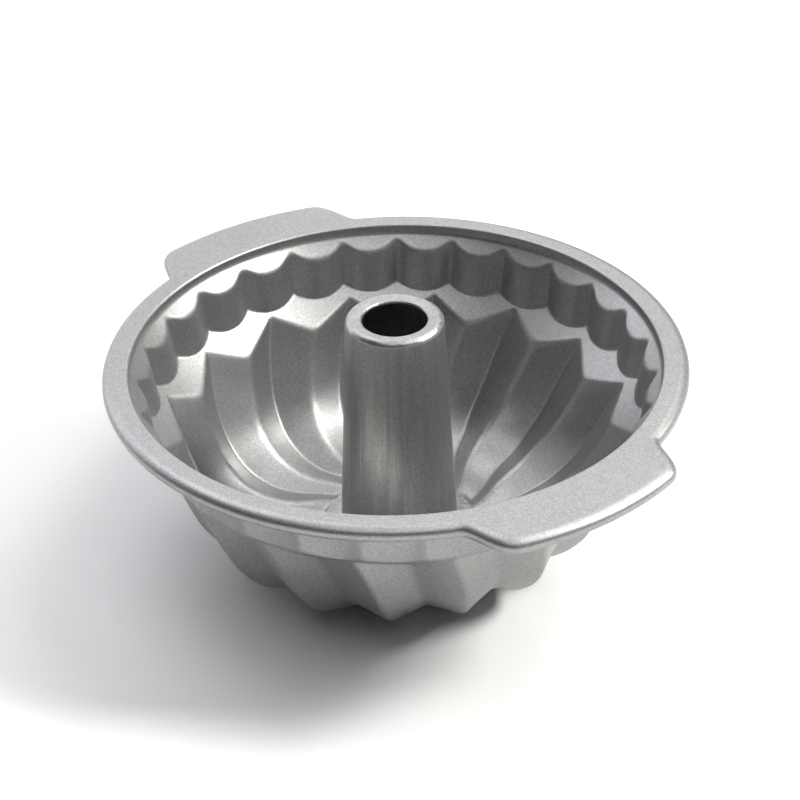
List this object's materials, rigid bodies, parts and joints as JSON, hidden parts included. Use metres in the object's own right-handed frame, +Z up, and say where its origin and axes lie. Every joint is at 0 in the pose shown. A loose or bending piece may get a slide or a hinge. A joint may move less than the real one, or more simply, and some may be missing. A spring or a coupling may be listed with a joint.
{
  "type": "fluted tube pan",
  "caption": "Deep round baking pan with leaning flutes, a scalloped upper band, a hollow centre tube and two tab handles on a rolled rim.",
  "frame": {"origin": "on the table, on the pan's axis, under the middle of the tube", "axes": "+Z up out of the pan's mouth, +X through the middle of one handle tab"},
  "size_m": [0.2984, 0.2632, 0.1168],
  "materials": {
    "coated_steel": "satin silver-grey non-stick coating with fine sparkle",
    "wire_steel": "plain drawn wire, hidden in the rim"
  },
  "bodies": {
    "root": {"pan_shell": "coated_steel", "centre_tube": "coated_steel", "rim_wire": "wire_steel"}
  },
  "joints": []
}
